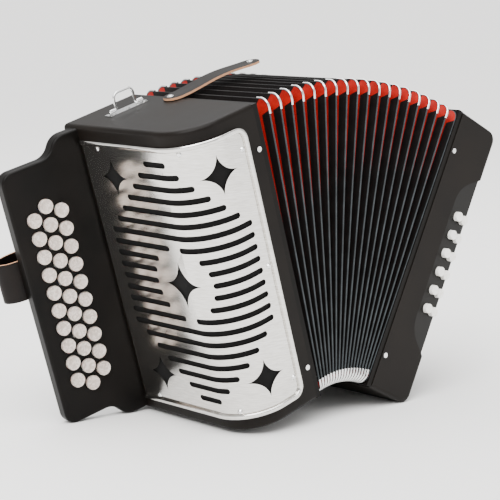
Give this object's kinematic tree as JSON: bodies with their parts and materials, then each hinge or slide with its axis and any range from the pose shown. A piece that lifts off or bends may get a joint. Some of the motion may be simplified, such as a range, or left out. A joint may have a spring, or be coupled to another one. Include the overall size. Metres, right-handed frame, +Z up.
{
  "type": "button accordion",
  "caption": "Diatonic button accordion standing as an open arch: treble casing with slotted steel grille and fingerboard, fan-folded bellows, bass casing with buttons and straps.",
  "frame": {"origin": "centre of the whole object at the surface that it stands on", "axes": "+Z up, +X from the treble end to the bass end, -Y towards the front, which the sound grille and the button boards face"},
  "size_m": [0.5036, 0.2134, 0.3481],
  "materials": {
    "black_casing": "satin",
    "steel_grille": "satin",
    "black_board": "satin",
    "pearl_button": "pearl",
    "white_button": "gloss",
    "steel": "satin",
    "chrome": "polished",
    "reed_wood": "matt",
    "black_wood": "lacquered",
    "bellows_cloth": "matt",
    "dark_leather": "grained"
  },
  "bodies": {
    "treble": {"treble_casing": "black_casing", "treble_grille": "steel_grille", "grille_screws": "chrome", "fingerboard": "black_board", "key_axle": "steel", "treble_soundboard": "reed_wood", "treble_reed_blocks": "reed_wood", "treble_bellows_frame": "black_wood", "treble_bellows_pins": "chrome", "bellows_folds": "bellows_cloth", "bellows_corners": "chrome", "thumb_strap": "dark_leather", "strap_bracket": "chrome", "bellows_strap": "dark_leather"},
    "bass": {"bass_bellows_frame": "black_wood", "bass_bellows_pins": "chrome", "bass_casing": "black_casing", "bass_button_board": "black_board", "bass_soundboard": "reed_wood", "bass_reed_blocks": "reed_wood", "hand_strap": "dark_leather"},
    "strap_bail": {"strap_bail": "chrome"},
    "air_button": {"air_button": "white_button"},
    "key_01": {"treble_key_01": "pearl_button"},
    "key_02": {"treble_key_02": "pearl_button"},
    "key_03": {"treble_key_03": "pearl_button"},
    "key_04": {"treble_key_04": "pearl_button"},
    "key_05": {"treble_key_05": "pearl_button"},
    "key_06": {"treble_key_06": "pearl_button"},
    "key_07": {"treble_key_07": "pearl_button"},
    "key_08": {"treble_key_08": "pearl_button"},
    "key_09": {"treble_key_09": "pearl_button"},
    "key_10": {"treble_key_10": "pearl_button"},
    "key_11": {"treble_key_11": "pearl_button"},
    "key_12": {"treble_key_12": "pearl_button"},
    "key_13": {"treble_key_13": "pearl_button"},
    "key_14": {"treble_key_14": "pearl_button"},
    "key_15": {"treble_key_15": "pearl_button"},
    "key_16": {"treble_key_16": "pearl_button"},
    "key_17": {"treble_key_17": "pearl_button"},
    "key_18": {"treble_key_18": "pearl_button"},
    "key_19": {"treble_key_19": "pearl_button"},
    "key_20": {"treble_key_20": "pearl_button"},
    "key_21": {"treble_key_21": "pearl_button"},
    "key_22": {"treble_key_22": "pearl_button"},
    "key_23": {"treble_key_23": "pearl_button"},
    "key_24": {"treble_key_24": "pearl_button"},
    "key_25": {"treble_key_25": "pearl_button"},
    "key_26": {"treble_key_26": "pearl_button"},
    "key_27": {"treble_key_27": "pearl_button"},
    "key_28": {"treble_key_28": "pearl_button"},
    "key_29": {"treble_key_29": "pearl_button"},
    "key_30": {"treble_key_30": "pearl_button"},
    "key_31": {"treble_key_31": "pearl_button"},
    "bass_pair_1": {"bass_button_pair_1": "white_button"},
    "bass_pair_2": {"bass_button_pair_2": "white_button"},
    "bass_pair_3": {"bass_button_pair_3": "white_button"},
    "bass_pair_4": {"bass_button_pair_4": "white_button"},
    "bass_pair_5": {"bass_button_pair_5": "white_button"},
    "bass_pair_6": {"bass_button_pair_6": "white_button"}
  },
  "joints": [
    {"name": "bellows_fan", "type": "hinge", "parent": "treble", "child": "bass", "pos_m": [0.03403, -0.10352, 0.03116], "axis": [0, 1, 0], "range_deg": [-43, 12], "deforming": ["bellows_folds", "bellows_corners"]},
    {"name": "key_01_press", "type": "hinge", "parent": "treble", "child": "key_01", "pos_m": [-0.14921, 0.05832, 0.23355], "axis": [0.276, 0, -0.9612], "range_deg": [0, 3.16], "stiffness_Nm_per_rad": 0.3, "springref_deg": -1.72},
    {"name": "key_02_press", "type": "hinge", "parent": "treble", "child": "key_02", "pos_m": [-0.14666, 0.05832, 0.22466], "axis": [0.276, 0, -0.9612], "range_deg": [0, 2.54], "stiffness_Nm_per_rad": 0.3, "springref_deg": -1.72},
    {"name": "key_03_press", "type": "hinge", "parent": "treble", "child": "key_03", "pos_m": [-0.14666, 0.05832, 0.22466], "axis": [0.276, 0, -0.9612], "range_deg": [0, 4.16], "stiffness_Nm_per_rad": 0.3, "springref_deg": -1.72},
    {"name": "key_04_press", "type": "hinge", "parent": "treble", "child": "key_04", "pos_m": [-0.1441, 0.05832, 0.21577], "axis": [0.276, 0, -0.9612], "range_deg": [0, 3.16], "stiffness_Nm_per_rad": 0.3, "springref_deg": -1.72},
    {"name": "key_05_press", "type": "hinge", "parent": "treble", "child": "key_05", "pos_m": [-0.14155, 0.05832, 0.20688], "axis": [0.276, 0, -0.9612], "range_deg": [0, 2.54], "stiffness_Nm_per_rad": 0.3, "springref_deg": -1.72},
    {"name": "key_06_press", "type": "hinge", "parent": "treble", "child": "key_06", "pos_m": [-0.14155, 0.05832, 0.20688], "axis": [0.276, 0, -0.9612], "range_deg": [0, 4.16], "stiffness_Nm_per_rad": 0.3, "springref_deg": -1.72},
    {"name": "key_07_press", "type": "hinge", "parent": "treble", "child": "key_07", "pos_m": [-0.139, 0.05832, 0.19799], "axis": [0.276, 0, -0.9612], "range_deg": [0, 3.16], "stiffness_Nm_per_rad": 0.3, "springref_deg": -1.72},
    {"name": "key_08_press", "type": "hinge", "parent": "treble", "child": "key_08", "pos_m": [-0.13645, 0.05832, 0.1891], "axis": [0.276, 0, -0.9612], "range_deg": [0, 2.54], "stiffness_Nm_per_rad": 0.3, "springref_deg": -1.72},
    {"name": "key_09_press", "type": "hinge", "parent": "treble", "child": "key_09", "pos_m": [-0.13645, 0.05832, 0.1891], "axis": [0.276, 0, -0.9612], "range_deg": [0, 4.16], "stiffness_Nm_per_rad": 0.3, "springref_deg": -1.72},
    {"name": "key_10_press", "type": "hinge", "parent": "treble", "child": "key_10", "pos_m": [-0.13389, 0.05832, 0.18021], "axis": [0.276, 0, -0.9612], "range_deg": [0, 3.16], "stiffness_Nm_per_rad": 0.3, "springref_deg": -1.72},
    {"name": "key_11_press", "type": "hinge", "parent": "treble", "child": "key_11", "pos_m": [-0.13134, 0.05832, 0.17132], "axis": [0.276, 0, -0.9612], "range_deg": [0, 2.54], "stiffness_Nm_per_rad": 0.3, "springref_deg": -1.72},
    {"name": "key_12_press", "type": "hinge", "parent": "treble", "child": "key_12", "pos_m": [-0.13134, 0.05832, 0.17132], "axis": [0.276, 0, -0.9612], "range_deg": [0, 4.16], "stiffness_Nm_per_rad": 0.3, "springref_deg": -1.72},
    {"name": "key_13_press", "type": "hinge", "parent": "treble", "child": "key_13", "pos_m": [-0.12879, 0.05832, 0.16243], "axis": [0.276, 0, -0.9612], "range_deg": [0, 3.16], "stiffness_Nm_per_rad": 0.3, "springref_deg": -1.72},
    {"name": "key_14_press", "type": "hinge", "parent": "treble", "child": "key_14", "pos_m": [-0.12623, 0.05832, 0.15354], "axis": [0.276, 0, -0.9612], "range_deg": [0, 2.54], "stiffness_Nm_per_rad": 0.3, "springref_deg": -1.72},
    {"name": "key_15_press", "type": "hinge", "parent": "treble", "child": "key_15", "pos_m": [-0.12623, 0.05832, 0.15354], "axis": [0.276, 0, -0.9612], "range_deg": [0, 4.16], "stiffness_Nm_per_rad": 0.3, "springref_deg": -1.72},
    {"name": "key_16_press", "type": "hinge", "parent": "treble", "child": "key_16", "pos_m": [-0.12368, 0.05832, 0.14464], "axis": [0.276, 0, -0.9612], "range_deg": [0, 3.16], "stiffness_Nm_per_rad": 0.3, "springref_deg": -1.72},
    {"name": "key_17_press", "type": "hinge", "parent": "treble", "child": "key_17", "pos_m": [-0.12113, 0.05832, 0.13575], "axis": [0.276, 0, -0.9612], "range_deg": [0, 2.54], "stiffness_Nm_per_rad": 0.3, "springref_deg": -1.72},
    {"name": "key_18_press", "type": "hinge", "parent": "treble", "child": "key_18", "pos_m": [-0.12113, 0.05832, 0.13575], "axis": [0.276, 0, -0.9612], "range_deg": [0, 4.16], "stiffness_Nm_per_rad": 0.3, "springref_deg": -1.72},
    {"name": "key_19_press", "type": "hinge", "parent": "treble", "child": "key_19", "pos_m": [-0.11857, 0.05832, 0.12686], "axis": [0.276, 0, -0.9612], "range_deg": [0, 3.16], "stiffness_Nm_per_rad": 0.3, "springref_deg": -1.72},
    {"name": "key_20_press", "type": "hinge", "parent": "treble", "child": "key_20", "pos_m": [-0.11602, 0.05832, 0.11797], "axis": [0.276, 0, -0.9612], "range_deg": [0, 2.54], "stiffness_Nm_per_rad": 0.3, "springref_deg": -1.72},
    {"name": "key_21_press", "type": "hinge", "parent": "treble", "child": "key_21", "pos_m": [-0.11602, 0.05832, 0.11797], "axis": [0.276, 0, -0.9612], "range_deg": [0, 4.16], "stiffness_Nm_per_rad": 0.3, "springref_deg": -1.72},
    {"name": "key_22_press", "type": "hinge", "parent": "treble", "child": "key_22", "pos_m": [-0.11347, 0.05832, 0.10908], "axis": [0.276, 0, -0.9612], "range_deg": [0, 3.16], "stiffness_Nm_per_rad": 0.3, "springref_deg": -1.72},
    {"name": "key_23_press", "type": "hinge", "parent": "treble", "child": "key_23", "pos_m": [-0.11092, 0.05832, 0.10019], "axis": [0.276, 0, -0.9612], "range_deg": [0, 2.54], "stiffness_Nm_per_rad": 0.3, "springref_deg": -1.72},
    {"name": "key_24_press", "type": "hinge", "parent": "treble", "child": "key_24", "pos_m": [-0.11092, 0.05832, 0.10019], "axis": [0.276, 0, -0.9612], "range_deg": [0, 4.16], "stiffness_Nm_per_rad": 0.3, "springref_deg": -1.72},
    {"name": "key_25_press", "type": "hinge", "parent": "treble", "child": "key_25", "pos_m": [-0.10836, 0.05832, 0.0913], "axis": [0.276, 0, -0.9612], "range_deg": [0, 3.16], "stiffness_Nm_per_rad": 0.3, "springref_deg": -1.72},
    {"name": "key_26_press", "type": "hinge", "parent": "treble", "child": "key_26", "pos_m": [-0.10581, 0.05832, 0.08241], "axis": [0.276, 0, -0.9612], "range_deg": [0, 2.54], "stiffness_Nm_per_rad": 0.3, "springref_deg": -1.72},
    {"name": "key_27_press", "type": "hinge", "parent": "treble", "child": "key_27", "pos_m": [-0.10581, 0.05832, 0.08241], "axis": [0.276, 0, -0.9612], "range_deg": [0, 4.16], "stiffness_Nm_per_rad": 0.3, "springref_deg": -1.72},
    {"name": "key_28_press", "type": "hinge", "parent": "treble", "child": "key_28", "pos_m": [-0.10326, 0.05832, 0.07352], "axis": [0.276, 0, -0.9612], "range_deg": [0, 3.16], "stiffness_Nm_per_rad": 0.3, "springref_deg": -1.72},
    {"name": "key_29_press", "type": "hinge", "parent": "treble", "child": "key_29", "pos_m": [-0.1007, 0.05832, 0.06463], "axis": [0.276, 0, -0.9612], "range_deg": [0, 2.54], "stiffness_Nm_per_rad": 0.3, "springref_deg": -1.72},
    {"name": "key_30_press", "type": "hinge", "parent": "treble", "child": "key_30", "pos_m": [-0.1007, 0.05832, 0.06463], "axis": [0.276, 0, -0.9612], "range_deg": [0, 4.16], "stiffness_Nm_per_rad": 0.3, "springref_deg": -1.72},
    {"name": "key_31_press", "type": "hinge", "parent": "treble", "child": "key_31", "pos_m": [-0.09815, 0.05832, 0.05574], "axis": [0.276, 0, -0.9612], "range_deg": [0, 3.16], "stiffness_Nm_per_rad": 0.3, "springref_deg": -1.72},
    {"name": "bail_swing", "type": "hinge", "parent": "treble", "child": "strap_bail", "pos_m": [-0.12955, 0.03548, 0.30734], "axis": [0.9612, 0, 0.276], "range_deg": [-80, 80]},
    {"name": "bass_pair_1_press", "type": "slide", "parent": "bass", "child": "bass_pair_1", "axis": [0, 1, 0], "range_m": [0, 0.003], "stiffness_N_per_m": 200, "springref_m": -0.001},
    {"name": "bass_pair_2_press", "type": "slide", "parent": "bass", "child": "bass_pair_2", "axis": [0, 1, 0], "range_m": [0, 0.003], "stiffness_N_per_m": 200, "springref_m": -0.001},
    {"name": "bass_pair_3_press", "type": "slide", "parent": "bass", "child": "bass_pair_3", "axis": [0, 1, 0], "range_m": [0, 0.003], "stiffness_N_per_m": 200, "springref_m": -0.001},
    {"name": "bass_pair_4_press", "type": "slide", "parent": "bass", "child": "bass_pair_4", "axis": [0, 1, 0], "range_m": [0, 0.003], "stiffness_N_per_m": 200, "springref_m": -0.001},
    {"name": "bass_pair_5_press", "type": "slide", "parent": "bass", "child": "bass_pair_5", "axis": [0, 1, 0], "range_m": [0, 0.003], "stiffness_N_per_m": 200, "springref_m": -0.001},
    {"name": "bass_pair_6_press", "type": "slide", "parent": "bass", "child": "bass_pair_6", "axis": [0, 1, 0], "range_m": [0, 0.003], "stiffness_N_per_m": 200, "springref_m": -0.001},
    {"name": "air_button_press", "type": "slide", "parent": "bass", "child": "air_button", "axis": [-0.8912, 0, 0.4537], "range_m": [0, 0.0035], "stiffness_N_per_m": 200, "springref_m": -0.001}
  ]
}
